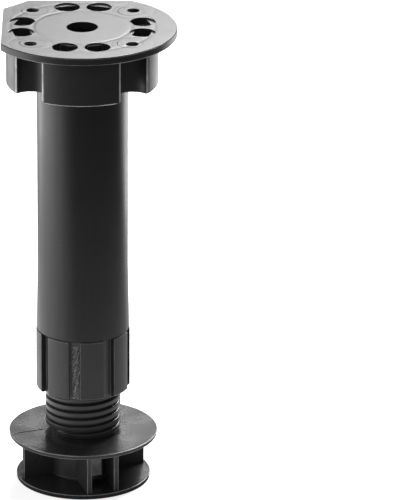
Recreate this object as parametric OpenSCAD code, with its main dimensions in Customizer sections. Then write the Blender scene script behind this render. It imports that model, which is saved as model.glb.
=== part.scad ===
// Adjustable cabinet leg: a moulded mounting head, an extruded tube, a nut insert pressed
// into the tube's lower end, and a threaded foot that screws in and out of the insert.
// Millimetres. The origin is the middle of the mounting face, and the leg hangs below it.

/* [Mounting plate] */
// Diameter of the round part of the plate
plate_d = 60.2; // [58:0.2:76]
// Thickness of the plate
plate_t = 2.5; // [2:0.1:5]
// Distance of the two straight sides from the leg's axis
plate_flat = 25.4; // [25:0.1:29]
// Bevel on the plate's round edges
plate_bevel = 0.3; // [0.1:0.05:0.8]
// How far the cut corner stands outside the round part
corner_reach = 0.2; // [0.1:0.1:2]
// Distance between neighbouring screw holes
screw_pitch = 32; // [30:0.5:34]
// Diameter of the screw holes
screw_hole_d = 4; // [3:0.1:5.5]
// Diameter of the dowel holes
dowel_hole_d = 8.2; // [6:0.1:9]
// Distance of each pair of dowel holes from the leg's axis
dowel_reach = 19.1; // [18.5:0.1:20.5]
// Distance between the two dowel holes of a pair
dowel_pitch = 10.2; // [9.6:0.1:12]
// Depth of the fully round mouth of a dowel hole
dowel_mouth = 0.6; // [0.3:0.1:1.5]
// Diameter of the hole in the middle of the plate
access_hole_d = 10; // [5:0.1:16]

/* [Head skirt] */
// Outer diameter of the skirt's lobes
skirt_d = 48.4; // [47:0.1:52]
// Height of the skirt below the plate
skirt_h = 15.7; // [10:0.1:24]
// Thickness of the skirt's outer wall
skirt_wall = 2.1; // [1:0.1:2.4]
// Radius of the round bite that clears each screw
bite_r = 5.7; // [5:0.1:6.8]
// Thickness of the wall round each bite
bite_wall = 2; // [1:0.1:2.2]
// Depth of the bevel on the lobes' upright corners
lobe_bevel = 0.3; // [0.1:0.05:0.8]
// Bevel on the lower edges of the skirt and the bites
skirt_bevel = 0.7; // [0.1:0.05:1]
// Thickness of the socket wall that grips the tube
socket_wall = 2; // [1.4:0.1:2.6]

/* [Tube] */
// Outer diameter halfway down, where the tube is narrowest
tube_d = 28.9; // [27:0.1:30]
// Wall thickness of the tube
tube_wall = 1.3; // [0.8:0.1:1.7]
// Length of the tube, with the part inside the head
tube_length = 99.1; // [80:0.1:250]
// How much wider the tube is inside the head
top_spread = 0.3; // [0:0.1:0.6]
// How much the insert's plug widens the tube at its lower end
foot_spread = 0.8; // [0:0.1:1.2]
// Length over which the tube narrows below the head
top_taper = 26; // [10:1:40]

/* [Nut insert] */
// Outer diameter of the collar below the tube
collar_d = 30; // [29.8:0.1:34]
// Height of the collar
collar_h = 20.2; // [12:0.1:30]
// Number of grip grooves round the collar
groove_count = 8; // [4:1:10]
// Width of a grip groove
groove_w = 3.75; // [1:0.05:5]
// Depth of a grip groove
groove_depth = 1.9; // [0.5:0.1:2]
// Direction of the first groove, counted from the front
groove_turn = -9.9; // [-45:0.1:45]
// Height of the plug inside the tube
plug_h = 22; // [12:0.5:26]

/* [Threaded foot] */
// Outside diameter of the thread
thread_d = 24.1; // [20:0.1:24.3]
// Thread pitch
thread_pitch = 2.5; // [2:0.1:4]
// Depth of the thread
thread_depth = 1.1; // [0.6:0.05:1.3]
// Direction in which the thread starts, counted from the right
thread_turn = 220; // [0:5:355]
// Length of the spindle above the flange
spindle_h = 50; // [44:0.5:56]
// How much of the spindle shows between the collar and the flange
screwed_out = 15.1; // [2:0.1:22]
// Diameter of the spindle's hollow core
core_d = 15; // [8:0.1:17.4]
// Thickness of the spindle's closed top
core_roof = 2.5; // [1:0.1:5]
// Diameter of the flange
flange_d = 47.7; // [44:0.1:60]
// Thickness of the flange at its rim
flange_t = 1.3; // [1:0.1:3]
// How much thicker the flange is at the hub
flange_draft = 0.8; // [0:0.1:1.5]
// Diameter of the hub under the flange
hub_d = 21; // [20.6:0.1:24]
// Height of the gap between the flange and the base, at their rims
gap_h = 13.3; // [6:0.1:20]
// Thickness of the web and the ribs
rib_t = 1.6; // [1:0.1:2.4]
// Distance of the web's and the ribs' outer ends from the axis
rib_reach = 20.5; // [17:0.1:21.3]
// Distance of the ribs' middle planes from the axis
rib_offset = 4.9; // [3:0.1:8]
// Direction of the ribs, counted from the front
rib_turn = 18.5; // [-45:0.5:45]
// Width of the lug that hangs from the flange between the ribs
lug_w = 3.8; // [2:0.1:5]
// Distance of the lugs' outer faces from the axis
lug_reach = 13; // [12.5:0.1:18]
// Height of the open space between the base's rim and a lug
lug_clear = 2.5; // [1:0.1:6]
// Diameter of the base disc
base_d = 43.1; // [43:0.1:56]
// Thickness of the base disc at its rim
base_t = 1.5; // [1:0.1:4]
// How much thicker the base disc is at the hub
base_draft = 0.8; // [0:0.1:1.5]

/* [Fits] */
// Radial clearance of the thread in the insert's bore
thread_gap = 0.1; // [0.05:0.01:0.3]
// Radial clearance of the tube in the head and of the plug in the tube
press_gap = 0.03; // [0.01:0.01:0.1]
// Bevel on the edges that meet at the seams
seam_bevel = 0.3; // [0.1:0.05:0.6]

/* [Hidden] */

// How far a cutting shape runs past the surface that it cuts
overrun = 1;
round_fn = 96;
turn_steps = 36;

plate_r = plate_d / 2;
screw_reach = screw_pitch / 2;
skirt_r = skirt_d / 2;
skirt_inner_r = skirt_r - skirt_wall;
head_bottom = -plate_t - skirt_h;

tube_r = tube_d / 2;
tube_top_r = tube_r + top_spread / 2;
tube_foot_r = tube_r + foot_spread / 2;
tube_bottom = -plate_t - tube_length;
socket_r = tube_top_r + press_gap;
socket_outer_r = socket_r + socket_wall;

collar_r = collar_d / 2;
collar_bottom = tube_bottom - collar_h;
bore_r = thread_d / 2 + thread_gap;
plug_foot_r = tube_foot_r - tube_wall - press_gap;
plug_top_r = tube_r - tube_wall - press_gap;

thread_r = thread_d / 2;
root_r = thread_r - thread_depth;
flange_top = collar_bottom - screwed_out;
flange_r = flange_d / 2;
hub_r = hub_d / 2;
base_r = base_d / 2;
base_top = flange_top - flange_t - gap_h;
base_bottom = base_top - base_t;

// Half widths of the thread's crest and foot, as shares of the pitch
crest_share = 0.14;
foot_share = 0.42;
// What is left of the ridge at its very ends, as a share of its height above its sunk foot
fade_share = 0.1;
thread_sunk = 0.35 * thread_depth;
thread_start = thread_pitch / 2;
thread_turns = floor((spindle_h - 2 * thread_start) / thread_pitch);
fade_steps = turn_steps / 6;

module black_plastic() {
    color("#1d1d1f") children();
}

module at_screws() {
    for (x = [-1, 1], y = [-1, 1])
        translate([x * screw_reach, y * screw_reach]) children();
}

// Four pairs of places, one pair on each side of the axis
module at_dowels() {
    for (turn = [0, 90, 180, 270], side = [-1, 1])
        rotate(turn) translate([side * dowel_pitch / 2, -dowel_reach]) children();
}

// Round plate with two straight sides and the corner between them cut at 45 degrees
module plate() {
    corner_side = (plate_r + corner_reach) * sqrt(2) - plate_flat;
    translate([0, 0, -plate_t]) intersection() {
        union() {
            rotate_extrude($fn = round_fn) polygon([
                [0, 0],
                [plate_r - plate_bevel, 0],
                [plate_r, plate_bevel],
                [plate_r, plate_t - plate_bevel],
                [plate_r - plate_bevel, plate_t],
                [0, plate_t]]);
            linear_extrude(plate_t) polygon([
                [0, 0],
                [-plate_flat, 0],
                [-plate_flat, corner_side],
                [-corner_side, plate_flat],
                [0, plate_flat]]);
        }
        translate([-plate_flat, -plate_r - overrun, -overrun])
            cube([plate_flat + plate_r + overrun, plate_flat + plate_r + overrun, plate_t + 2 * overrun]);
    }
}

// Lobes, bites and tube socket below the plate
module skirt() {
    translate([0, 0, head_bottom]) difference() {
        rotate_extrude($fn = round_fn) polygon([
            [0, 0],
            [skirt_r - skirt_bevel, 0],
            [skirt_r, skirt_bevel],
            [skirt_r, skirt_h],
            [0, skirt_h]]);
        translate([0, 0, -overrun]) {
            at_screws() cylinder(r = bite_r, h = skirt_h + 2 * overrun, $fn = round_fn);
            at_screws() cylinder(
                r1 = bite_r + skirt_bevel + overrun, r2 = bite_r,
                h = skirt_bevel + overrun, $fn = round_fn);
            cylinder(r = socket_r, h = skirt_h + 2 * overrun, $fn = round_fn);
            for (turn = [0, 90, 180, 270], side = [-1, 1])
                rotate(turn + 45) lobe_corner(side, skirt_h + 2 * overrun);
        }
        translate([0, 0, -overrun]) pockets();
    }
}

// Bevels one upright corner between the skirt's outside and a bite that lies along +X
module lobe_corner(side, height) {
    bite_far = screw_reach * sqrt(2);
    along = (skirt_r * skirt_r - bite_r * bite_r + bite_far * bite_far) / (2 * bite_far);
    across = sqrt(skirt_r * skirt_r - along * along);
    out = [along, across] / skirt_r + [bite_far - along, -across] / bite_r;
    translate([along, side * across]) rotate(side * atan2(out[1], out[0]))
        translate([-lobe_bevel, -skirt_wall, 0])
            cube([skirt_wall, 2 * skirt_wall, height]);
}

// Hollows between the skirt, the bites' walls and the tube socket
module pockets() {
    difference() {
        cylinder(r = skirt_inner_r, h = skirt_h + overrun, $fn = round_fn);
        translate([0, 0, -overrun]) {
            at_screws() cylinder(r = bite_r + bite_wall, h = skirt_h + 3 * overrun, $fn = round_fn);
            cylinder(r = socket_outer_r, h = skirt_h + 3 * overrun, $fn = round_fn);
        }
    }
}

// Through the plate a dowel hole is only as wide as the gap between the socket and the skirt
module dowel_holes() {
    translate([0, 0, -plate_t - overrun]) intersection() {
        at_dowels() cylinder(d = dowel_hole_d, h = plate_t + 2 * overrun, $fn = round_fn);
        difference() {
            cylinder(r = skirt_inner_r, h = plate_t + 2 * overrun, $fn = round_fn);
            translate([0, 0, -overrun])
                cylinder(r = socket_outer_r, h = plate_t + 4 * overrun, $fn = round_fn);
        }
    }
}

module mounting_head() {
    black_plastic() union() {
        difference() {
            plate();
            dowel_holes();
            translate([0, 0, -dowel_mouth]) at_dowels()
                cylinder(d = dowel_hole_d, h = dowel_mouth + overrun, $fn = round_fn);
            translate([0, 0, -plate_t - overrun]) {
                at_screws() cylinder(d = screw_hole_d, h = plate_t + 2 * overrun, $fn = round_fn);
                cylinder(d = access_hole_d, h = plate_t + 2 * overrun, $fn = round_fn);
            }
        }
        skirt();
    }
}

// Drawn pipe, a little wider where it sits in the head and round the insert's plug
module leg_tube() {
    taper_end = head_bottom - top_taper;
    plug_top = tube_bottom + plug_h;
    black_plastic() rotate_extrude($fn = round_fn) polygon([
        [tube_top_r - tube_wall, -plate_t],
        [tube_top_r, -plate_t],
        [tube_top_r, head_bottom],
        [tube_r, taper_end],
        [tube_r, plug_top],
        [tube_foot_r, tube_bottom + seam_bevel],
        [tube_foot_r - seam_bevel, tube_bottom],
        [tube_foot_r - tube_wall, tube_bottom],
        [tube_r - tube_wall, plug_top],
        [tube_r - tube_wall, taper_end],
        [tube_top_r - tube_wall, head_bottom]]);
}

// Collar with grip grooves
module collar() {
    groove_floor_r = collar_r - groove_depth;
    difference() {
        rotate_extrude($fn = round_fn) polygon([
            [0, tube_bottom],
            [collar_r - seam_bevel, tube_bottom],
            [collar_r, tube_bottom - seam_bevel],
            [collar_r, collar_bottom + 2 * seam_bevel],
            [collar_r - 2 * seam_bevel, collar_bottom],
            [0, collar_bottom]]);
        for (i = [0:groove_count - 1])
            rotate(groove_turn + i * 360 / groove_count) difference() {
                translate([-groove_w / 2, -collar_r - overrun, collar_bottom - overrun])
                    cube([groove_w, collar_r + overrun, collar_h + 2 * overrun]);
                translate([0, 0, collar_bottom - 2 * overrun])
                    cylinder(r = groove_floor_r, h = collar_h + 4 * overrun, $fn = round_fn);
            }
    }
}

// The collar, and the plug on it that sits in the tube, bored for the foot's thread
module nut_insert() {
    black_plastic() difference() {
        union() {
            collar();
            rotate_extrude($fn = round_fn) polygon([
                [0, tube_bottom - seam_bevel],
                [plug_foot_r, tube_bottom - seam_bevel],
                [plug_foot_r, tube_bottom],
                [plug_top_r, tube_bottom + plug_h],
                [0, tube_bottom + plug_h]]);
        }
        translate([0, 0, collar_bottom - overrun])
            cylinder(r = bore_r, h = collar_h + plug_h + 2 * overrun, $fn = round_fn);
    }
}

// A ridge that climbs a pitch a turn and fades out at both ends, with its foot sunk in the core
module thread() {
    last = thread_turns * turn_steps;
    foot_r = root_r - thread_sunk;
    shares = [-foot_share, -crest_share, crest_share, foot_share];
    function fade(k) = min(1, k / fade_steps, (last - k) / fade_steps);
    function crest(k) = foot_r + (thread_r - foot_r) * (fade_share + (1 - fade_share) * fade(k));
    function radii(k) = [foot_r, crest(k), crest(k), foot_r];
    points = [
        for (k = [0:last], j = [0:3])
            let (r = radii(k)[j], a = k * 360 / turn_steps)
                [r * cos(a), r * sin(a), (k / turn_steps + shares[j]) * thread_pitch]];
    sides = [
        for (k = [0:last - 1], j = [0:3])
            let (a = 4 * k + j, b = 4 * k + (j + 1) % 4)
                [a, b, b + 4, a + 4]];
    ends = [[3, 2, 1, 0], [4 * last, 4 * last + 1, 4 * last + 2, 4 * last + 3]];
    polyhedron(points, concat(ends, sides), convexity = 2 * thread_turns);
}

// The core's upright edges stand halfway between the steps of the ridge
module spindle() {
    rotate(thread_turn) {
        translate([0, 0, thread_start]) thread();
        rotate(180 / turn_steps) translate([0, 0, -flange_t / 2])
            linear_extrude(spindle_h + flange_t / 2) polygon([
                for (k = [0:turn_steps - 1])
                    let (a = k * 360 / turn_steps)
                        [root_r * cos(a), root_r * sin(a)]]);
    }
}

// Flange, hub and base disc turned from one outline, thicker towards the hub
module foot_body() {
    rotate_extrude($fn = round_fn) polygon([
        [0, flange_top],
        [flange_r, flange_top],
        [flange_r, flange_top - flange_t],
        [hub_r, flange_top - flange_t - flange_draft],
        [hub_r, base_top + base_draft],
        [base_r, base_top],
        [base_r, base_bottom],
        [0, base_bottom]]);
}

// A web across the middle and, square to it, two ribs beside the hub with a lug between them
module ribs() {
    rib_bottom = base_bottom + base_t / 2;
    rib_top = flange_top - flange_t / 2;
    lug_bottom = base_top + lug_clear;
    intersection() {
        translate([0, 0, rib_bottom])
            cylinder(r = rib_reach, h = rib_top - rib_bottom, $fn = round_fn);
        rotate(rib_turn) union() {
            translate([-rib_reach, -rib_t / 2, rib_bottom])
                cube([2 * rib_reach, rib_t, rib_top - rib_bottom]);
            for (side = [-1, 1])
                translate([side * rib_offset - rib_t / 2, -rib_reach, rib_bottom])
                    cube([rib_t, 2 * rib_reach, rib_top - rib_bottom]);
            translate([-lug_w / 2, -lug_reach, lug_bottom])
                cube([lug_w, 2 * lug_reach, rib_top - lug_bottom]);
        }
    }
}

module adjusting_foot() {
    core_h = spindle_h - core_roof + flange_top - base_bottom;
    black_plastic() difference() {
        union() {
            translate([0, 0, flange_top]) spindle();
            foot_body();
            ribs();
        }
        translate([0, 0, base_bottom - overrun])
            cylinder(d = core_d, h = core_h + overrun, $fn = round_fn);
    }
}

mounting_head();
leg_tube();
nut_insert();
adjusting_foot();
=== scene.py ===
"""Looks of the adjustable cabinet leg: eased edges, plastic finishes, and a plain studio."""

import math

import bpy
import bmesh
import numpy as np
from bpy.props import FloatProperty, FloatVectorProperty, IntProperty, PointerProperty
from mathutils import Matrix, Vector


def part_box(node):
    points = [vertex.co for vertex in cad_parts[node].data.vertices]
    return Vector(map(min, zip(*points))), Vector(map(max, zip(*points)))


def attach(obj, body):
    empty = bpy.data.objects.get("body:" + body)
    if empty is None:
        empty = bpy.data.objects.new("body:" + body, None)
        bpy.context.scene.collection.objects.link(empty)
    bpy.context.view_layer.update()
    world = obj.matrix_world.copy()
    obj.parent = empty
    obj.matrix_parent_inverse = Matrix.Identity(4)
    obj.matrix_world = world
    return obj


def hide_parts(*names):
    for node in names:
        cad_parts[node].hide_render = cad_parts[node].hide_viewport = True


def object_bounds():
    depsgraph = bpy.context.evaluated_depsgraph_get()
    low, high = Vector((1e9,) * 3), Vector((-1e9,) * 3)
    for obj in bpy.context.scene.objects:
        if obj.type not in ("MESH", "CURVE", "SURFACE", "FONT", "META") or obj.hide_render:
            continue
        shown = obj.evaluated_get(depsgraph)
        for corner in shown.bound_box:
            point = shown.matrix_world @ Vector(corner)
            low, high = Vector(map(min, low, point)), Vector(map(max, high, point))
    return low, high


bl_info = {
    "name": "Cabinet leg finish",
    "version": (1, 0, 0),
    "blender": (4, 5, 0),
    "location": "3D View > Sidebar > Cabinet leg",
    "description": "Finishes the adjustable cabinet leg and sets up a plain studio round it",
    "category": "Object",
}

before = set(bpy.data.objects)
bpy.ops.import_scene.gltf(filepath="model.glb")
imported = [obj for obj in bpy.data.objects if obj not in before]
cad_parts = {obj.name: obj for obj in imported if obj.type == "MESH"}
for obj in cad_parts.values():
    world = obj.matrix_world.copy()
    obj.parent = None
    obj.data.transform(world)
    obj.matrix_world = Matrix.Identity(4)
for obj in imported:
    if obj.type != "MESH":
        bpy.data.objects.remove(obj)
CAD_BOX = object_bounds()
MM = 0.001


# Sizes that are no settings. Those of the head and the insert are the CAD's own

# The head's skirt, and the round bites in it, which are centred on the screw holes
SKIRT_R = 24.2 * MM
SKIRT_BEVEL = 0.7 * MM
BITE_R = 5.7 * MM
HOLE_AT = 16 * MM
# Upright bevels where the bites meet the skirt's outer wall: the direction of their outer edges,
# in degrees from the plate's diagonals, and how far these edges turn to widen the bevels
BITE_BEVEL_AT = 14.3
BITE_BEVEL_TURN = 1.2
# How far inside the skirt's radius and outside a bite's radius the middles of these bevels lie
BITE_BEVEL_INSIDE = (0.1 * MM, 0.3 * MM)
BITE_BEVEL_OUTSIDE = (0.1 * MM, 0.6 * MM)
# Heights and radii this close to a named one are taken as equal to it
SAME_HEIGHT = 0.05 * MM
SAME_RADIUS = 0.1 * MM
SAME_DEGREES = 0.1

# Marks on the plate's top: centre on the diagonal, radius, half width, width of the slope, and
# height, all in mm. A mark of no radius is a pad round a screw hole, and the others are rings
PLATE_MARKS = [
    (15.3, 0, 4.3, 0.25, 0.2),
    (16, 6.7, 0.9, 0.9, -0.02),
    (0, 15.6, 1.1, 1.1, -0.04),
    (0, 23, 1.1, 1.1, -0.04)]

TUBE_EASE = 0.1 * MM

# Radius of the floors of the insert's grooves, and how far a face's middle may be from it
GROOVE_R = 13.1 * MM
GROOVE_SLACK = 0.2 * MM
# Numbers of rows, columns and waves of the torn flash in the front groove, and its random seed
FLASH_ROWS, FLASH_COLS, FLASH_WAVES = 240, 36, 16
FLASH_SEED = 7

# How far the edges of a thin piece are sunk in what carries it
SUNK = 0.05 * MM
# The thread's ridge, as shares of the pitch: half its width at the root, and the width of a flank
RIDGE_HALF_SHARE = 0.46
FLANK_SHARE = 0.2
# Share of a turn over which the ridge fades out at each end
FADE_SHARE = 1 / 6
# How much smaller the rims of the flange and the base are at their lower edges
RIM_TAPER = 0.15 * MM
# How far the turned core stays inside the threaded spindle
CORE_INSIDE = 0.4 * MM
CORE_BELOW = 0.3 * MM
# Plan points in mm of the parting line on top of the flange, from its rim to the spindle
SEAM = [(-23.0, -6.4), (-22.4, -5.8), (-21.4, -4.8), (-20.0, -4.0), (-18.0, -3.2), (-16.0, -2.5),
        (-14.5, -2.0), (-13.0, -1.5)]
SEAM_HALF_WIDTH = 0.15 * MM
SEAM_HEIGHT = 0.22 * MM

# Columns of points round the leg's axis, and rows of points to a pitch of the thread
AROUND = 144
PER_PITCH = 20
# Points this close are merged in a copy of a CAD node, and in a new surface
CAD_MERGE = 0.002 * MM
GRID_MERGE = 0.0005 * MM

# Metres from the leg's axis between which the floor's brightness changes: from near to far, out of
# the painted shadow beside the foot, and at the left where it starts, grows and ends
NEAR_TO_FAR = (0.09, 0.3)
PAINTED_FOOT_SHADOW = (0.022, 0.06)
LEFT_START = (0.045, 0.08)
LEFT_GROWTH = (0.24, 0.36)
LEFT_END = (0.45, 0.75)
# Sines of the directions between which it grows at the left
LEFT_SINES = (-0.3, -1.0)
# The same behind the leg, in metres straight back from it
BACK_START = (0.1, 0.16)
REAR_START = (0.22, 0.3)
# How far the floor is below the foot, so that no two faces lie in one plane
FLOOR_BELOW = 0.05 * MM
# Height of the point that most lamps face, near the middle of the leg
AIM_Z = -75 * MM
# Width of the camera's sensor in mm
SENSOR_WIDTH = 36


# Colours and nodes

def linear(code):
    """sRGB hex code to linear RGB: c/12.92 below 0.04045, else ((c + 0.055)/1.055)^2.4."""
    c = np.array([int(code[i:i + 2], 16) for i in (1, 3, 5)]) / 255
    return tuple(np.where(c <= 0.04045, c / 12.92, ((c + 0.055) / 1.055) ** 2.4))


def rgba(rgb):
    return (*rgb[:3], 1.0)


def add(tree, kind, inputs=None, **settings):
    """Adds one node, sets its properties, and sets or links its inputs."""
    node = tree.nodes.new(kind)
    for key, value in settings.items():
        setattr(node, key, value)
    for key, value in (inputs or {}).items():
        if isinstance(value, bpy.types.NodeSocket):
            tree.links.new(value, node.inputs[key])
        else:
            node.inputs[key].default_value = value
    return node


def clear_tree(owner):
    """Gives a material or a world an empty node tree."""
    owner.use_nodes = True
    owner.node_tree.nodes.clear()
    return owner.node_tree


# Settings

def colour(name, description, code):
    return FloatVectorProperty(
        name=name, description=description, subtype="COLOR", size=3, min=0, max=1,
        default=linear(code))


def length(name, description, mm):
    return FloatProperty(name=name, description=description, unit="LENGTH", default=mm * MM, min=0)


def direction(name, description, degrees):
    return FloatProperty(
        name=name, description=description, subtype="ANGLE", default=math.radians(degrees))


def power(name, description, watts):
    return FloatProperty(name=name, description=description, unit="POWER", default=watts, min=0)


def brightness(name, description, level):
    return FloatProperty(name=name, description=description, default=level, min=0)


class LegFinish(bpy.types.PropertyGroup):
    """Colours and eased edges of the leg."""
    black: colour("Plastic", "Colour of the moulded plastic", "#262628")
    tube_black: colour("Tube", "Colour of the drawn tube", "#171719")
    insert_black: colour("Insert", "Colour of the insert's plastic", "#2c2c2e")
    foot_black: colour("Foot", "Colour of the foot's plastic", "#2c2c2e")
    # Painted highlight: a light grey on the head's rounded edges that stands in for the light they
    # catch
    painted_head_highlight: colour("Painted head edge highlight", "Colour of the head's rubbed edges", "#d0d0d2")
    # Painted highlight on the insert's rounded edges
    painted_insert_highlight: colour("Painted insert edge highlight", "Colour of the insert's rubbed edges", "#707072")
    # Painted highlight on the foot's rounded edges
    painted_foot_highlight: colour("Painted foot edge highlight", "Colour of the foot's rubbed edges", "#a8a8aa")
    # Painted light: a light grey on the lugs' faces that stands in for the light they catch
    paint_lit: colour("Painted light on lugs", "Colour of the scuffed lugs between the ribs", "#b8b8ba")
    flash: colour("Flash", "Colour of the torn flash in the front groove", "#8a8a8c")
    # Painted light: a lighter colour on the groove floors that stands in for light against their
    # shadow
    groove: colour("Painted light on groove floors", "Lighter colour painted on the floors of the insert's grooves as light", "#464648")
    # Painted light: a lighter colour on the hub and the ribs under the flange, in its shadow
    paint_lit_hub: colour("Painted light on hub and ribs", "Colour of the hub and the ribs", "#404042")
    head_ease: FloatProperty(
        name="Head edges", description="Rounding of the head's edges", unit="LENGTH",
        default=0.34 * MM, min=0.05 * MM, max=0.5 * MM)
    insert_ease: FloatProperty(
        name="Insert edges", description="Rounding of the insert's edges", unit="LENGTH",
        default=0.2 * MM, min=0.05 * MM, max=0.4 * MM)
    foot_ease: FloatProperty(
        name="Foot edges", description="Rounding of the foot's edges", unit="LENGTH",
        default=0.2 * MM, min=0.05 * MM, max=0.3 * MM)


class LegFoot(bpy.types.PropertyGroup):
    """Sizes of the threaded foot."""
    spindle: length("Spindle", "Length of the spindle above the flange", 50)
    root_r: length("Thread root", "Radius at the thread's root", 10.95)
    thread_r: length("Thread crest", "Radius at the thread's crest", 12.05)
    pitch: length("Pitch", "Height that the thread climbs in a turn", 2.5)
    turns: IntProperty(name="Turns", description="Number of turns of the thread", default=19, min=1)
    thread_turn: direction("Thread start", "Direction in which the thread starts", 220)
    flange_r: length("Flange radius", "Radius of the flange", 23.85)
    flange_t: length("Flange rim", "Thickness of the flange's rim", 1.3)
    draft: length("Draft", "How much thicker the discs are at the hub", 0.8)
    hub_r: length("Hub radius", "Radius of the hub under the flange", 10.5)
    gap: length("Gap", "Height between the flange and the base at their rims", 13.3)
    rib_t: length("Rib thickness", "Thickness of the web and the ribs", 1.6)
    rib_reach: length("Web reach", "Distance of the web's ends from the axis", 20.4)
    rib_end: length("Rib reach", "Half length of the two ribs", 19.8)
    rib_offset: length("Rib offset", "Distance of the ribs from the axis", 4.5)
    rib_turn: direction("Rib direction", "Direction of the ribs from the front", 19.5)
    base_r: length("Base radius", "Radius of the base disc", 21.55)
    base_t: length("Base rim", "Thickness of the base disc's rim", 1.5)
    lug_w: length("Lug width", "Width of the lugs between the ribs", 3.8)
    lug_reach: length("Lug reach", "Distance of the lugs' outer faces from the axis", 13)
    lug_clear: length("Lug clearance", "Height between the base's rim and a lug", 3)
    core_r: length("Core radius", "Radius of the spindle's hollow core", 7.5)
    roof: length("Core roof", "Thickness of the spindle's closed top", 2.5)


class LegStage(bpy.types.PropertyGroup):
    """The plain studio round the leg."""
    floor: colour("Floor", "Colour of the floor", "#e6e6e6")
    back_power: power("Back softbox", "Power of the softbox behind the leg", 40)
    left_power: power("Left softbox", "Power of the softbox at the left", 0.7)
    right_power: power("Right softbox", "Power of the softbox behind at the right", 0.25)
    low_left_power: power("Low left panel", "Power of the panel on the floor at the left", 0.4)
    low_right_power: power("Low right panel", "Power of the panel on the floor at the right", 0.4)
    front_power: power("Front fill", "Power of the fill beside the camera", 3)
    near_glow: brightness("Floor near", "Brightness of the floor beside the leg", 0.9)
    far_glow: brightness("Floor far", "Brightness of the floor further away", 0.11)
    left_glow: brightness("Floor left", "Brightness of the floor at the left", 1.15)
    far_left_glow: brightness(
        "Floor far left", "Brightness of the floor further away at the left", 4)
    back_glow: brightness("Floor back", "Brightness of the floor behind the leg", 0.45)
    rear_glow: brightness("Floor rear", "Brightness of the floor far behind the leg", 0.65)
    seen_glow: brightness("Floor seen", "Brightness added to the floor that the camera sees", 0.7)
    world_level: brightness("Room light", "Brightness of the light from all round", 0.25)
    distance: FloatProperty(
        name="Camera distance", description="Distance of the camera from the point it aims at",
        unit="LENGTH", default=2.441, min=0.5)
    elevation: direction("Camera elevation", "Angle at which the camera looks down", 21.05)
    roll: direction("Camera roll", "Turn of the camera about its line of sight", 0.19)
    lens: FloatProperty(
        name="Lens", description="Focal length in millimetres on a 36 mm wide sensor",
        default=684.45, min=20)
    aim: FloatVectorProperty(
        name="Aim", description="Point at the middle of the picture", subtype="XYZ",
        size=3, default=(37.76 * MM, 0.0, -75.35 * MM))


# Materials

# All of the leg is polypropylene
PLASTIC_IOR = 1.49


def blank_material(name):
    """A new material, its empty node tree, and a socket that gives the place on the object."""
    material = bpy.data.materials.new(name)
    tree = clear_tree(material)
    return material, tree, add(tree, "ShaderNodeTexCoord").outputs["Object"]


def plate_marks(tree, place):
    """Height in mm of the marks on the plate's top: slightly raised pads round the screw holes,
    which the mould's pins leave, and shallow sink marks over the walls under the plate."""
    axes = add(tree, "ShaderNodeSeparateXYZ", {0: place})
    across = add(tree, "ShaderNodeMath", {0: axes.outputs[0]}, operation="ABSOLUTE")
    along = add(tree, "ShaderNodeMath", {0: axes.outputs[1]}, operation="ABSOLUTE")
    corner = add(tree, "ShaderNodeCombineXYZ", {0: across.outputs[0], 1: along.outputs[0]})
    total = 0.0
    for centre, radius, half_width, slope, height in PLATE_MARKS:
        away = add(tree, "ShaderNodeVectorMath", {
            0: corner.outputs[0], 1: (centre * MM, centre * MM, 0)}, operation="DISTANCE")
        off = add(tree, "ShaderNodeMath", {
            0: away.outputs["Value"], 1: radius * MM}, operation="SUBTRACT")
        off = add(tree, "ShaderNodeMath", {0: off.outputs[0]}, operation="ABSOLUTE")
        mark = add(tree, "ShaderNodeMapRange", {
            "Value": off.outputs[0], "From Min": (half_width - slope) * MM,
            "From Max": half_width * MM, "To Min": height, "To Max": 0.0},
            interpolation_type="SMOOTHSTEP")
        total = add(tree, "ShaderNodeMath", {
            0: total, 1: mark.outputs[0]}, operation="ADD").outputs[0]
    # The plate's top is at height 0, and the marks stop just below it
    top = add(tree, "ShaderNodeMapRange", {
        "Value": axes.outputs[2], "From Min": -0.6 * MM, "From Max": -0.3 * MM})
    return add(tree, "ShaderNodeMath", {
        0: total, 1: top.outputs[0]}, operation="MULTIPLY").outputs[0]


def moulded_plastic(name, rgb, roughness, marks=None):
    """Injection-moulded black polypropylene: a deep even black, a satin skin that shows soft
    sheets of light at low angles, a fine texture from the mould, and slow waves from shrinking.
    marks adds the height in mm of a piece's own marks."""
    material, tree, place = blank_material(name)
    # Texture of the mould's skin: 0.35 mm grain, coarser than the real 0.05 mm so that it shows
    grain = add(tree, "ShaderNodeTexNoise", {
        "Vector": place, "Scale": 1 / (0.35 * MM), "Detail": 3.0})
    # Sink and flow marks: waves about 9 mm long
    waves = add(tree, "ShaderNodeTexNoise", {"Vector": place, "Scale": 1 / (9 * MM), "Detail": 2.0})
    rough = add(tree, "ShaderNodeMapRange", {
        "Value": waves.outputs["Fac"], "From Min": 0.3, "From Max": 0.7,
        "To Min": roughness - 0.04, "To Max": roughness + 0.05})
    skin = add(tree, "ShaderNodeBump", {
        "Height": grain.outputs["Fac"], "Strength": 0.12, "Distance": 0.03 * MM})
    sunk = add(tree, "ShaderNodeBump", {
        "Height": waves.outputs["Fac"], "Strength": 0.25, "Distance": 0.25 * MM,
        "Normal": skin.outputs["Normal"]})
    if marks:
        sunk = add(tree, "ShaderNodeBump", {
            "Height": marks(tree, place), "Strength": 1.0, "Distance": MM,
            "Normal": sunk.outputs["Normal"]})
    shader = add(tree, "ShaderNodeBsdfPrincipled", {
        "Base Color": rgba(rgb), "Roughness": rough.outputs["Result"], "IOR": PLASTIC_IOR,
        "Normal": sunk.outputs["Normal"]})
    add(tree, "ShaderNodeOutputMaterial", {"Surface": shader.outputs["BSDF"]})
    return material


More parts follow.
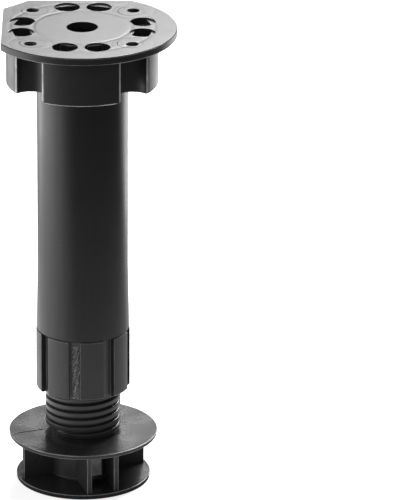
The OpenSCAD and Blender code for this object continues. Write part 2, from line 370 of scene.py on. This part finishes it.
def painted_highlight(name, rgb):
    """Painted highlight on the edges of a black moulding: a thin lighter line along each corner,
    grey and smooth, whose grey stands in for the light that the corners catch."""
    material, tree, place = blank_material(name)
    # Stronger and weaker stretches of the painted highlight, about 4 mm long
    highlighted = add(tree, "ShaderNodeTexNoise", {
        "Vector": place, "Scale": 1 / (4 * MM), "Detail": 4.0})
    amount = add(tree, "ShaderNodeMapRange", {
        "Value": highlighted.outputs["Fac"], "From Min": 0.35, "From Max": 0.65,
        "To Min": 0.45, "To Max": 1.0})
    tint = add(tree, "ShaderNodeMix", {
        "Factor": amount.outputs["Result"], "A": rgba(linear("#202022")), "B": rgba(rgb)},
        data_type="RGBA")
    shader = add(tree, "ShaderNodeBsdfPrincipled", {
        "Base Color": tint.outputs["Result"], "Roughness": 0.3, "IOR": PLASTIC_IOR})
    add(tree, "ShaderNodeOutputMaterial", {"Surface": shader.outputs["BSDF"]})
    return material


def drawn_plastic(name, rgb, roughness):
    """Extruded black polypropylene pipe: satin, with fine lines along its length where it was
    drawn over the die."""
    material, tree, place = blank_material(name)
    # Draw lines 0.6 mm apart round the pipe and about 60 mm long
    along = add(tree, "ShaderNodeMapping", {"Vector": place, "Scale": (1.0, 1.0, 0.6 / 60)})
    lines = add(tree, "ShaderNodeTexNoise", {
        "Vector": along.outputs["Vector"], "Scale": 1 / (0.6 * MM), "Detail": 2.0})
    # Slow changes of gloss about 14 mm long
    waves = add(tree, "ShaderNodeTexNoise", {
        "Vector": place, "Scale": 1 / (14 * MM), "Detail": 2.0})
    rough = add(tree, "ShaderNodeMapRange", {
        "Value": waves.outputs["Fac"], "From Min": 0.3, "From Max": 0.7,
        "To Min": roughness - 0.03, "To Max": roughness + 0.04})
    bump = add(tree, "ShaderNodeBump", {
        "Height": lines.outputs["Fac"], "Strength": 0.15, "Distance": 0.03 * MM})
    shader = add(tree, "ShaderNodeBsdfPrincipled", {
        "Base Color": rgba(rgb), "Roughness": rough.outputs["Result"], "IOR": PLASTIC_IOR,
        "Normal": bump.outputs["Normal"]})
    add(tree, "ShaderNodeOutputMaterial", {"Surface": shader.outputs["BSDF"]})
    return material


def give(piece, *materials):
    """Gives a piece its materials: its plastic, the painted highlight of its rounded edges where it
    has them, and the lighter plastic, painted light, of the faces that its third slot is for."""
    for material in materials:
        piece.data.materials.append(material)


# Copies of CAD nodes

def linked(name, data):
    """A new object in the scene that shows a mesh, a lamp or a camera."""
    obj = bpy.data.objects.new(name, data)
    bpy.context.scene.collection.objects.link(obj)
    return obj


def eased_copy(node, name, width, reshape=None, slots=None):
    """A merged copy of a CAD node with its flat facets joined and its edges rounded, where the
    roundings take the second material. reshape takes the array of points and gives back the one to
    use. slots takes the faces' centres and normals and gives the number of each face's material."""
    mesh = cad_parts[node].data.copy()
    mesh.name = name
    mesh.materials.clear()
    if reshape:
        points = np.empty(3 * len(mesh.vertices), np.float32)
        mesh.vertices.foreach_get("co", points)
        mesh.vertices.foreach_set("co", reshape(points.reshape(-1, 3)).reshape(-1))
    work = bmesh.new()
    work.from_mesh(mesh)
    bmesh.ops.remove_doubles(work, verts=work.verts, dist=CAD_MERGE)
    bmesh.ops.dissolve_limit(
        work, angle_limit=math.radians(0.5), verts=work.verts, edges=work.edges,
        use_dissolve_boundaries=False)
    work.to_mesh(mesh)
    work.free()
    if slots:
        centres, normals = (np.empty(3 * len(mesh.polygons), np.float32) for _ in range(2))
        mesh.polygons.foreach_get("center", centres)
        mesh.polygons.foreach_get("normal", normals)
        index = slots(centres.reshape(-1, 3), normals.reshape(-1, 3))
        mesh.polygons.foreach_set("material_index", index.astype(np.int32))
    mesh.shade_smooth()
    piece = linked(name, mesh)
    ease = piece.modifiers.new("eased edges", "BEVEL")
    ease.limit_method = "ANGLE"
    ease.angle_limit = math.radians(32)
    ease.width = width
    ease.segments = 2
    ease.material = 1
    flat = piece.modifiers.new("flat faces", "WEIGHTED_NORMAL")
    flat.mode = "FACE_AREA"
    flat.weight = 100
    return piece


def from_holes(points):
    """Plan vectors to points from the screw hole in the same quarter of the plate."""
    return points[:, :2] - np.sign(points[:, :2]) * HOLE_AT


def sharper_skirt(points):
    """Halves the bevel along the skirt's lower edge and widens the upright bevels beside its bites.
    The upper line of the lower bevel drops by half its height, and its lower line moves by half
    its width, away from the axis on the round skirt, p + p / |p| * move, and towards the screw
    hole round a bite, p - (p - c) / |p - c| * move. The outer edge of an upright bevel turns about
    the axis, away from the bite."""
    bottom, half = points[:, 2].min(), SKIRT_BEVEL / 2
    r = np.linalg.norm(points[:, :2], axis=1)
    out = from_holes(points)
    reach = np.linalg.norm(out, axis=1)
    upper = abs(points[:, 2] - bottom - SKIRT_BEVEL) < SAME_HEIGHT
    points[upper, 2] -= half
    lower = abs(points[:, 2] - bottom) < SAME_HEIGHT
    bite = lower & (abs(reach - BITE_R - SKIRT_BEVEL) < SAME_RADIUS)
    points[bite, :2] -= (out / reach[:, None] * half)[bite]
    skirt = lower & ~bite & (abs(r - SKIRT_R + SKIRT_BEVEL) < SAME_RADIUS)
    points[skirt, :2] *= ((r + half) / r)[skirt, None]
    off = np.degrees(np.arctan2(points[:, 1], points[:, 0])) % 90 - 45
    upright = (abs(abs(off) - BITE_BEVEL_AT) < SAME_DEGREES) & (abs(r - SKIRT_R) < SAME_RADIUS)
    turn = np.radians(np.sign(off) * BITE_BEVEL_TURN)[upright]
    x, y = points[upright, :2].T
    points[upright, 0] = x * np.cos(turn) - y * np.sin(turn)
    points[upright, 1] = x * np.sin(turn) + y * np.cos(turn)
    return points


def skirt_chamfers(centres, normals):
    """Slot 1, the painted highlight, for the sloping faces along the skirt's foot, and for the
    narrow upright bevels where its bites meet its outer wall, just inside the skirt's radius and
    outside a bite's."""
    up = normals[:, 2]
    inside = SKIRT_R - np.linalg.norm(centres[:, :2], axis=1)
    outside = np.linalg.norm(from_holes(centres), axis=1) - BITE_R
    sloping = (up > -0.9) & (up < -0.3) & (centres[:, 2] < centres[:, 2].min() + SKIRT_BEVEL)
    upright = abs(up) < 0.1
    for distance, (least, most) in ((inside, BITE_BEVEL_INSIDE), (outside, BITE_BEVEL_OUTSIDE)):
        upright = upright & (distance > least) & (distance < most)
    return sloping | upright


def painted_light_groove_floors(centres, normals):
    """Slot 2, painted light, for the floors of the insert's grooves: round faces below the tube
    that face out, which get a lighter colour against the shadow in the grooves.
    """
    r = np.linalg.norm(centres[:, :2], axis=1)
    outwards = (centres[:, :2] * normals[:, :2]).sum(1) > 0.9 * r
    below = centres[:, 2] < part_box("leg_tube")[0].z
    return 2 * (outwards & below & (abs(r - GROOVE_R) < GROOVE_SLACK))


# New surfaces

def grid_faces(rows, cols, closed, step):
    """Quads between neighbouring rows; round a closed grid the last column meets the first one,
    step rows further on."""
    i, j = np.meshgrid(
        np.arange(rows - 1), np.arange(cols if closed else cols - 1), indexing="ij")
    wrap = (j + 1) // cols
    k = (j + 1) % cols
    low = np.minimum(i + step * wrap, rows - 1)
    high = np.minimum(i + 1 + step * wrap, rows - 1)
    corners = (i * cols + j, low * cols + k, high * cols + k, (i + 1) * cols + j)
    return np.stack(corners, -1).reshape(-1, 4)


def surface(name, grids, sharp=35, closed=True, step=0, slots=None):
    """One mesh from grids of points, each with rows along v and columns round u. sharp is the angle
    in degrees from which an edge is sharp. slots gives the number of the material of each row of
    the first grid."""
    points, faces, first = [], [], 0
    for grid in grids:
        rows, cols = grid.shape[:2]
        points.append(grid.reshape(-1, 3))
        faces.append(grid_faces(rows, cols, closed, step) + first)
        first += rows * cols
    mesh = bpy.data.meshes.new(name)
    mesh.from_pydata(np.concatenate(points), [], np.concatenate(faces))
    if slots is not None:
        per_row = grids[0].shape[1] if closed else grids[0].shape[1] - 1
        index = np.zeros(len(mesh.polygons), np.int32)
        index[:len(slots) * per_row] = np.repeat(slots, per_row)
        mesh.polygons.foreach_set("material_index", index)
    work = bmesh.new()
    work.from_mesh(mesh)
    bmesh.ops.remove_doubles(work, verts=work.verts, dist=GRID_MERGE)
    bmesh.ops.dissolve_degenerate(work, edges=work.edges, dist=GRID_MERGE)
    bmesh.ops.recalc_face_normals(work, faces=work.faces)
    work.to_mesh(mesh)
    work.free()
    mesh.shade_smooth()
    mesh.set_sharp_from_angle(angle=math.radians(sharp))
    return linked(name, mesh)


def rounded_outline(corners):
    """Rounds the corners of an outline. A corner is (r, z, size), and its rounding is the quadratic
    curve (1 - t)^2 a + 2 t (1 - t) p + t^2 b from one side to the other, with a close point on each
    straight side so that the flats stay flat. Also says of each step along the outline whether it
    is part of a rounding."""
    arc, lead = 5, 0.12 * MM
    corners = np.array(corners, float)
    outline, curved = [corners[0, :2]], [False]
    for here, before, after in zip(corners[1:-1], corners[:-2], corners[2:]):
        p, size = here[:2], here[2]
        if size == 0:
            outline.append(p)
            curved.append(False)
            continue
        to_a, to_b = ((q[:2] - p) / np.linalg.norm(q[:2] - p) for q in (before, after))
        t = np.linspace(0, 1, arc)[:, None]
        a, b = p + to_a * size, p + to_b * size
        curve = (1 - t) ** 2 * a + 2 * t * (1 - t) * p + t ** 2 * b
        outline.extend([a + to_a * lead, *curve, b + to_b * lead])
        curved.extend([False] + [True] * arc + [False])
    outline.append(corners[-1, :2])
    curved = np.array([*curved, False])
    return np.array(outline), curved[:-1] & curved[1:]


def round_axis(r, z, angle):
    """Points (r cos a, r sin a, z) round the leg's axis."""
    return np.stack([r * np.cos(angle), r * np.sin(angle), z + 0 * angle], -1)


def revolved(outline):
    """Grid of a surface of revolution: each (r, z) of the outline is carried round the axis."""
    angle = np.linspace(0, 2 * np.pi, AROUND, endpoint=False)
    return round_axis(outline[:, :1], outline[:, 1:], angle)


def screw_grid(root, crest, pitch, start, turns, low, high, phase):
    """Grid of a threaded rod. Each row climbs one pitch round the rod, so that the ridge runs along
    the rows: the radius rises from root to crest over the flanks, as a smooth step of the height's
    share of the pitch, and fades out at both ends."""
    count = math.ceil((high - low) / pitch + 2) * PER_PITCH
    i = np.arange(count)[:, None]
    u = np.arange(AROUND)[None, :] / AROUND
    share = i / PER_PITCH - 1 + (low - start) / pitch
    ridge = np.round(share)
    flank = np.clip((RIDGE_HALF_SHARE - np.abs(share - ridge)) / FLANK_SHARE, 0, 1)
    flank = flank * flank * (3 - 2 * flank)
    along = ridge + u
    fade = np.clip(np.minimum(along, turns - along) / FADE_SHARE, 0, 1)
    r = root + (crest - root) * flank * fade
    z = np.clip(start + (share + u) * pitch, low, high)
    return round_axis(r, z, 2 * np.pi * u + phase)


def slabs(name, low, high, flip, turn, ease):
    """Two flat ribs with rounded edges on both sides of the hub: a box from the corner low to the
    corner high and the same box turned over by the signs flip, both turned about the leg's axis."""
    low, high = np.array(low), np.array(high)
    signs = np.array([[x, y, z] for x in (-1, 1) for y in (-1, 1) for z in (-1, 1)], float)
    middle, corners = (low + high) / 2, signs * (high - low) / 2
    points = np.concatenate([middle + corners, middle * flip + corners])
    c, s = math.cos(turn), math.sin(turn)
    points[:, :2] = points[:, :2] @ np.array([[c, s], [-s, c]])
    faces = np.array([
        (0, 1, 3, 2), (4, 6, 7, 5), (0, 4, 5, 1), (2, 3, 7, 6), (0, 2, 6, 4), (1, 5, 7, 3)])
    mesh = bpy.data.meshes.new(name)
    mesh.from_pydata(points, [], np.concatenate([faces, faces + len(signs)]))
    mesh.shade_smooth()
    piece = linked(name, mesh)
    bevel = piece.modifiers.new("eased edges", "BEVEL")
    bevel.width = ease
    bevel.segments = 3
    bevel.material = 1
    bevel.harden_normals = True
    return piece


def thin_ridge(name, line, level, half_width, height):
    """A thin ridge along a line of plan points: across it, the height is that of a half ellipse,
    z = level + height * sqrt(1 - v^2) for v from -1 to 1, with its edges sunk below the level."""
    points = np.array(line, float) * MM
    along = np.gradient(points, axis=0)
    side = np.stack([-along[:, 1], along[:, 0]], -1) / np.linalg.norm(along, axis=1)[:, None]
    v = np.linspace(-1, 1, 9)
    grid = np.empty((len(points), len(v), 3))
    grid[..., :2] = points[:, None] + side[:, None] * v[None, :, None] * half_width
    grid[..., 2] = level - SUNK + (height + SUNK) * np.sqrt(1 - v * v)
    return surface(name, [grid], closed=False)


def torn_flash(name, radius, angle, half_width, low, high, depth):
    """A ragged strip of flash on a cylinder, at an angle from the front. Down the strip u and
    across it v run from -1 to 1. Its height over the cylinder is
    depth * (1 - v^4) * (1 - u^8) * lumps(u, v), where lumps is a sum of sines with seeded phases,
    and its edges wander by a twelfth of its width."""
    rng = np.random.default_rng(FLASH_SEED)
    u = np.linspace(-1, 1, FLASH_ROWS)[:, None]
    v = np.linspace(-1, 1, FLASH_COLS)[None, :]
    lumps = np.zeros((FLASH_ROWS, FLASH_COLS))
    for _ in range(FLASH_WAVES):
        # Waves down and across the strip, their phase and their height
        down, over, phase, height = rng.uniform((6, 1, 0, 0.12), (60, 9, 2 * np.pi, 0.3))
        lumps += height * np.sin(down * u + over * v + phase)
    wander = half_width / 12 * (np.sin(9 * u + 1) + 0.6 * np.sin(23 * u))
    across = v * half_width * (0.9 + 0.1 * np.sin(17 * u + 2)) + wander
    rise = depth * (1 - v ** 4) * (1 - u ** 8) * np.clip(0.6 + lumps, 0.05, 1.3)
    # The lowest parts are sunk, so that no edge stands off the cylinder
    r = radius + rise - 0.06 * MM * (1 - rise / depth).clip(0, 1)
    a = angle + across / radius
    z = (high + low) / 2 - u * (high - low) / 2 + 0 * v
    return surface(name, [np.stack([r * np.sin(a), -r * np.cos(a), z], -1)], sharp=70, closed=False)


# The foot's parts

def foot_levels(shape):
    """Heights of the foot at its rims: its bottom, the top of the base, the underside and the top
    of the flange, and the end of the spindle."""
    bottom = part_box("adjusting_foot")[0].z
    return np.cumsum((bottom, shape.base_t, shape.gap, shape.flange_t, shape.spindle))


def turned_discs(shape, ease):
    """Flange, hub, base and hollow core, turned from one outline that rises and falls by the draft
    between the rims and the hub. The rims' roundings take slot 1, a painted highlight, and the hub
    takes slot 2, painted light."""
    bottom, base_top, flange_under, flange_top, end = foot_levels(shape)
    outline, rounded = rounded_outline([
        (0, end - CORE_BELOW, 0),
        (shape.root_r - CORE_INSIDE, end - CORE_BELOW, 0),
        (shape.root_r - CORE_INSIDE, flange_top, 0),
        (shape.flange_r, flange_top, ease),
        (shape.flange_r - RIM_TAPER, flange_under, ease),
        (shape.hub_r, flange_under - shape.draft, 3 * ease),
        (shape.hub_r, base_top + shape.draft, 3 * ease),
        (shape.base_r, base_top, ease),
        (shape.base_r - RIM_TAPER, bottom, ease),
        (shape.core_r, bottom, ease),
        (shape.core_r, end - shape.roof, 0),
        (0, end - shape.roof, 0)])
    rims = rounded & (outline[:-1, 0] > shape.base_r - MM)
    r, z = ((outline[:-1] + outline[1:]) / 2).T
    hub = (r < shape.hub_r + MM) & (z > base_top) & (z < flange_under)
    return surface("foot_discs", [revolved(outline)], slots=rims + 2 * hub)


def threaded_spindle(shape):
    """The helical thread on its rod, and the two discs that close the rod's ends."""
    flange_top, end = foot_levels(shape)[3:]
    rod = screw_grid(
        shape.root_r, shape.thread_r, shape.pitch, flange_top + shape.pitch / 2, shape.turns,
        flange_top - shape.flange_t / 2, end, shape.thread_turn)
    foot = rod[0, 0, 2]
    low = np.array([[0, foot], [shape.root_r, foot]])
    high = np.array([[shape.root_r, end], [0, end]])
    thread = surface("foot_thread", [rod], sharp=60, step=PER_PITCH)
    return thread, surface("foot_thread_ends", [revolved(low), revolved(high)])


def ribs_and_lugs(shape, ease):
    """The web across the middle, the left and the right rib square to it, and the lugs between
    them. They start inside the hub's wall, so that the spindle's hollow core stays clear, and
    they are sunk a little in the base and the flange."""
    base_top, flange_under = foot_levels(shape)[1:3]
    low, high = base_top - shape.base_t / 4, flange_under + shape.flange_t / 4
    turn, half = shape.rib_turn, shape.rib_t / 2
    inner = (shape.hub_r + shape.core_r) / 2
    start = math.sqrt(inner ** 2 - shape.rib_offset ** 2)
    left_and_right, front_and_back = (-1, 1, 1), (1, -1, 1)
    web = slabs("foot_web", (inner, -half, low), (shape.rib_reach, half, high),
                left_and_right, turn, ease)
    left, right = (
        slabs(name, (x - half, start, low), (x + half, shape.rib_end, high),
              front_and_back, turn, ease)
        for name, x in (
            ("foot_rib_left", -shape.rib_offset), ("foot_rib_right", shape.rib_offset)))
    lugs = slabs("foot_lugs", (-shape.lug_w / 2, inner, base_top + shape.lug_clear),
                 (shape.lug_w / 2, shape.lug_reach, high), front_and_back, turn, ease)
    return web, left, right, lugs


# Operators of the pieces

class LEG_OT_head(bpy.types.Operator):
    """Rounds the mounting head's edges, gives it its moulded plastic and paints a highlight on the
    roundings.
    """
    bl_idname = "leg.head"
    bl_label = "Mounting head"

    def execute(self, context):
        finish = context.scene.leg_finish
        piece = eased_copy("mounting_head", "finished_head", finish.head_ease,
                           reshape=sharper_skirt, slots=skirt_chamfers)
        give(piece,
             moulded_plastic("moulded polypropylene, head", finish.black, roughness=0.34,
                             marks=plate_marks),
             painted_highlight("burnished polypropylene, head edges", finish.painted_head_highlight))
        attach(piece, "leg_body")
        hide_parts("mounting_head")
        return {"FINISHED"}


class LEG_OT_tube(bpy.types.Operator):
    """Gives the tube its drawn plastic."""
    bl_idname = "leg.tube"
    bl_label = "Tube"

    def execute(self, context):
        finish = context.scene.leg_finish
        piece = eased_copy("leg_tube", "finished_tube", TUBE_EASE)
        tube = drawn_plastic("extruded polypropylene, tube", finish.tube_black, roughness=0.3)
        give(piece, tube, tube)
        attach(piece, "leg_body")
        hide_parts("leg_tube")
        return {"FINISHED"}


class LEG_OT_insert(bpy.types.Operator):
    """Rounds the nut insert's edges, gives it its moulded plastic with a painted highlight on the
    roundings and painted light on its groove floors, and adds the torn flash.
    """
    bl_idname = "leg.insert"
    bl_label = "Nut insert"

    def execute(self, context):
        finish = context.scene.leg_finish
        piece = eased_copy("nut_insert", "finished_insert", finish.insert_ease, slots=painted_light_groove_floors)
        give(piece,
             moulded_plastic("moulded polypropylene, insert", finish.insert_black, roughness=0.36),
             painted_highlight("burnished polypropylene, insert edges", finish.painted_insert_highlight),
             moulded_plastic("polypropylene painted lighter, groove floors", finish.groove,
                             roughness=0.36))
        low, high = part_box("nut_insert")[0].z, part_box("leg_tube")[0].z
        flash = torn_flash(
            "insert_flash", GROOVE_R, angle=math.radians(-9), half_width=1.35 * MM,
            low=low + 0.1 * MM, high=high - 1.6 * MM, depth=0.75 * MM)
        give(flash, moulded_plastic("torn polypropylene, flash", finish.flash, roughness=0.4))
        for item in (piece, flash):
            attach(item, "leg_body")
        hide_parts("nut_insert")
        return {"FINISHED"}


class LEG_OT_foot(bpy.types.Operator):
    """Makes the foot's discs, thread, web, ribs and lugs, and gives them their plastic, with a
    painted highlight on their rounded edges and painted light on the hub, the ribs and the lugs.
    """
    bl_idname = "leg.foot"
    bl_label = "Threaded foot"

    def execute(self, context):
        finish = context.scene.leg_finish
        shape = context.scene.leg_foot
        discs = turned_discs(shape, finish.foot_ease)
        thread, caps = threaded_spindle(shape)
        web, left, right, lugs = ribs_and_lugs(shape, finish.foot_ease)
        seam = thin_ridge("foot_parting_ridge", SEAM, foot_levels(shape)[3],
                          SEAM_HALF_WIDTH, SEAM_HEIGHT)
        plastic = moulded_plastic(
            "moulded polypropylene, foot", finish.foot_black, roughness=0.25)
        # Painted highlight on the foot's rounded edges
        highlighted = painted_highlight("burnished polypropylene, foot edges", finish.painted_foot_highlight)
        # Painted light on the lugs' faces
        paint_lit = painted_highlight("scuffed polypropylene, lugs", finish.paint_lit)
        # Painted light on the hub and the ribs
        paint_lit_hub = moulded_plastic(
            "dusty polypropylene, hub and ribs", finish.paint_lit_hub, roughness=0.3)
        give(discs, plastic, highlighted, paint_lit_hub)
        for piece in (thread, caps, seam):
            give(piece, plastic)
        give(web, plastic, highlighted)
        for piece in (left, right):
            give(piece, paint_lit_hub, highlighted)
        give(lugs, paint_lit, highlighted)
        for piece in (discs, thread, caps, web, left, right, lugs, seam):
            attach(piece, "adjuster")
        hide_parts("adjusting_foot")
        return {"FINISHED"}


# Stage

def floor_light(tree, place, stage):
    """Strength of the light that the floor gives the leg: even beside it and fading further away,
    but with a painted shadow at the foot itself. At the left it grows with the sine of the
    direction, and faster further away, and behind the leg it rises in two steps."""
    axes = add(tree, "ShaderNodeSeparateXYZ", {0: place})
    x, y = axes.outputs[:2]
    flat = add(tree, "ShaderNodeCombineXYZ", {0: x, 1: y})
    away = add(tree, "ShaderNodeVectorMath", {
        0: flat.outputs[0]}, operation="LENGTH").outputs["Value"]
    near, foot_shadow, start, end, back, rear = (
        add(tree, "ShaderNodeMapRange", {
            "Value": value, "From Min": low, "From Max": high, "To Min": first, "To Max": last},
            interpolation_type="SMOOTHSTEP").outputs[0]
        for value, (low, high), first, last in (
            (away, NEAR_TO_FAR, stage.near_glow, stage.far_glow),
            (away, PAINTED_FOOT_SHADOW, 0.15, 1.0),
            (away, LEFT_START, 0.0, 1.0),
            (away, LEFT_END, 1.0, 0.0),
            (y, BACK_START, 0.0, stage.back_glow),
            (y, REAR_START, 0.0, stage.rear_glow - stage.back_glow)))
    sine = add(tree, "ShaderNodeMath", {0: x, 1: away}, operation="DIVIDE").outputs[0]
    turned, exponent, full = (
        add(tree, "ShaderNodeMapRange", {
            "Value": value, "From Min": low, "From Max": high, "To Min": first, "To Max": last,
        }).outputs[0]
        for value, (low, high), first, last in (
            (sine, LEFT_SINES, 0.0, 1.0),
            (away, LEFT_GROWTH, 1.0, 3.0),
            (away, LEFT_GROWTH, stage.left_glow, stage.far_left_glow)))
    left = add(tree, "ShaderNodeMath", {0: turned, 1: exponent}, operation="POWER").outputs[0]
    for part in (full, start, end):
        left = add(tree, "ShaderNodeMath", {0: left, 1: part}, operation="MULTIPLY").outputs[0]
    # Painted shadow: beside the foot the floor gives 0.15 of its near light, rising to all of it
    near = add(tree, "ShaderNodeMath", {0: near, 1: foot_shadow}, operation="MULTIPLY").outputs[0]
    behind = add(tree, "ShaderNodeMath", {0: back, 1: rear}, operation="ADD").outputs[0]
    sides = add(tree, "ShaderNodeMath", {0: left, 1: behind}, operation="MAXIMUM").outputs[0]
    return add(tree, "ShaderNodeMath", {0: sides, 1: near}, operation="ADD").outputs[0]


def white_paper(stage):
    """Matt white paper. The camera sees it white with the leg's shadow, and every other ray sees
    the light that it gives the leg."""
    material, tree, place = blank_material("white paper")
    paper = add(tree, "ShaderNodeBsdfDiffuse", {"Color": rgba(stage.floor)})
    white = add(tree, "ShaderNodeEmission", {"Color": (1, 1, 1, 1), "Strength": stage.seen_glow})
    seen = add(tree, "ShaderNodeAddShader", {0: paper.outputs[0], 1: white.outputs[0]})
    light = add(tree, "ShaderNodeEmission", {
        "Color": (1, 1, 1, 1), "Strength": floor_light(tree, place, stage)})
    rays = add(tree, "ShaderNodeLightPath")
    both = add(tree, "ShaderNodeMixShader", {
        0: rays.outputs["Is Camera Ray"], 1: light.outputs[0], 2: seen.outputs[0]})
    add(tree, "ShaderNodeOutputMaterial", {"Surface": both.outputs[0]})
    return material


def studio_world(stage):
    """Even room light, which the camera sees as white."""
    world = bpy.data.worlds.new("studio")
    tree = clear_tree(world)
    rays = add(tree, "ShaderNodeLightPath")
    room = add(tree, "ShaderNodeBackground", {
        "Color": (1, 1, 1, 1), "Strength": stage.world_level})
    white = add(tree, "ShaderNodeBackground", {"Color": (1, 1, 1, 1), "Strength": 1.0})
    seen = add(tree, "ShaderNodeMixShader", {
        0: rays.outputs["Is Camera Ray"], 1: room.outputs[0], 2: white.outputs[0]})
    add(tree, "ShaderNodeOutputWorld", {"Surface": seen.outputs[0]})
    return world


def softbox(name, watts, width, height, place, aim):
    """An area light at place that faces the point aim."""
    lamp = bpy.data.lights.new(name, "AREA")
    lamp.shape = "RECTANGLE"
    lamp.size = width
    lamp.size_y = height
    lamp.energy = watts
    box = linked(name, lamp)
    box.location = place
    box.visible_camera = False
    box.rotation_euler = (Vector(aim) - Vector(place)).to_track_quat("-Z", "Y").to_euler()


def studio_camera(stage):
    """Camera level with the plate's sides, looking down, with a very slight roll."""
    look = Vector((0, math.cos(stage.elevation), -math.sin(stage.elevation)))
    right = Vector((1, 0, 0))
    up = right.cross(look)
    c, s = math.cos(stage.roll), math.sin(stage.roll)
    turn = Matrix((c * right + s * up, c * up - s * right, -look)).transposed().to_4x4()
    lens = bpy.data.cameras.new("camera")
    lens.sensor_fit = "HORIZONTAL"
    lens.sensor_width = SENSOR_WIDTH
    lens.lens = stage.lens
    lens.clip_end = 20
    camera = linked("camera", lens)
    camera.matrix_world = Matrix.Translation(Vector(stage.aim) - stage.distance * look) @ turn
    return camera


class LEG_OT_stage(bpy.types.Operator):
    """Builds the floor, the lights and the camera."""
    bl_idname = "leg.stage"
    bl_label = "Studio"

    def execute(self, context):
        scene = context.scene
        stage = scene.leg_stage
        scene.view_settings.view_transform = "Standard"

        # A square of 6 m
        x, y = np.meshgrid((-3, 3), (-3, 3))
        level = np.full(x.shape, CAD_BOX[0][2] - FLOOR_BELOW)
        floor = surface("floor", [np.stack([x, y, level], -1)], closed=False)
        give(floor, white_paper(stage))

        # Name, power, width, height, place and the point that it faces, in metres
        aim = (0, 0, AIM_Z)
        for box in (
                ("back softbox", stage.back_power, 0.9, 0.8, (0.41, 0.95, 0.84), (0.51, 0, AIM_Z)),
                ("left softbox", stage.left_power, 0.6, 0.45, (-0.45, 0.1, 0.1), aim),
                ("right softbox", stage.right_power, 0.3, 0.45, (0.3, 0.5, 0.1), aim),
                ("low left panel", stage.low_left_power, 0.3, 0.2,
                 (-0.36, 0.26, -0.15), (-0.36, 0.26, 1)),
                ("low right panel", stage.low_right_power, 0.26, 0.24,
                 (0.25, 0.3, -0.15), (0.25, 0.3, 1)),
                ("front fill", stage.front_power, 1.0, 1.0, (-0.6, -1.6, 1.2), aim)):
            softbox(*box)
        scene.world = studio_world(stage)
        scene.camera = studio_camera(stage)
        return {"FINISHED"}


# Panel

class LEG_PT_panel(bpy.types.Panel):
    """Lists the leg's pieces and the studio, with their settings."""
    bl_idname = "LEG_PT_panel"
    bl_label = "Cabinet leg"
    bl_space_type = "VIEW_3D"
    bl_region_type = "UI"
    bl_category = "Cabinet leg"

    def draw(self, context):
        scene = context.scene
        for settings, operators in (
                (scene.leg_finish, (LEG_OT_head, LEG_OT_tube, LEG_OT_insert)),
                (scene.leg_foot, (LEG_OT_foot,)),
                (scene.leg_stage, (LEG_OT_stage,))):
            box = self.layout.box()
            for name in settings.bl_rna.properties.keys():
                if name not in ("rna_type", "name"):
                    box.prop(settings, name)
            for operator in operators:
                box.operator(operator.bl_idname)


CLASSES = (LegFinish, LegFoot, LegStage, LEG_OT_head, LEG_OT_tube, LEG_OT_insert, LEG_OT_foot,
           LEG_OT_stage, LEG_PT_panel)


def register():
    for cls in CLASSES:
        bpy.utils.register_class(cls)
    bpy.types.Scene.leg_finish = PointerProperty(type=LegFinish)
    bpy.types.Scene.leg_foot = PointerProperty(type=LegFoot)
    bpy.types.Scene.leg_stage = PointerProperty(type=LegStage)


def unregister():
    del bpy.types.Scene.leg_stage
    del bpy.types.Scene.leg_foot
    del bpy.types.Scene.leg_finish
    for cls in reversed(CLASSES):
        bpy.utils.unregister_class(cls)


def main():
    register()
    bpy.ops.leg.stage()
    bpy.ops.leg.head()
    bpy.ops.leg.tube()
    bpy.ops.leg.insert()
    bpy.ops.leg.foot()


if __name__ == "__main__":
    main()
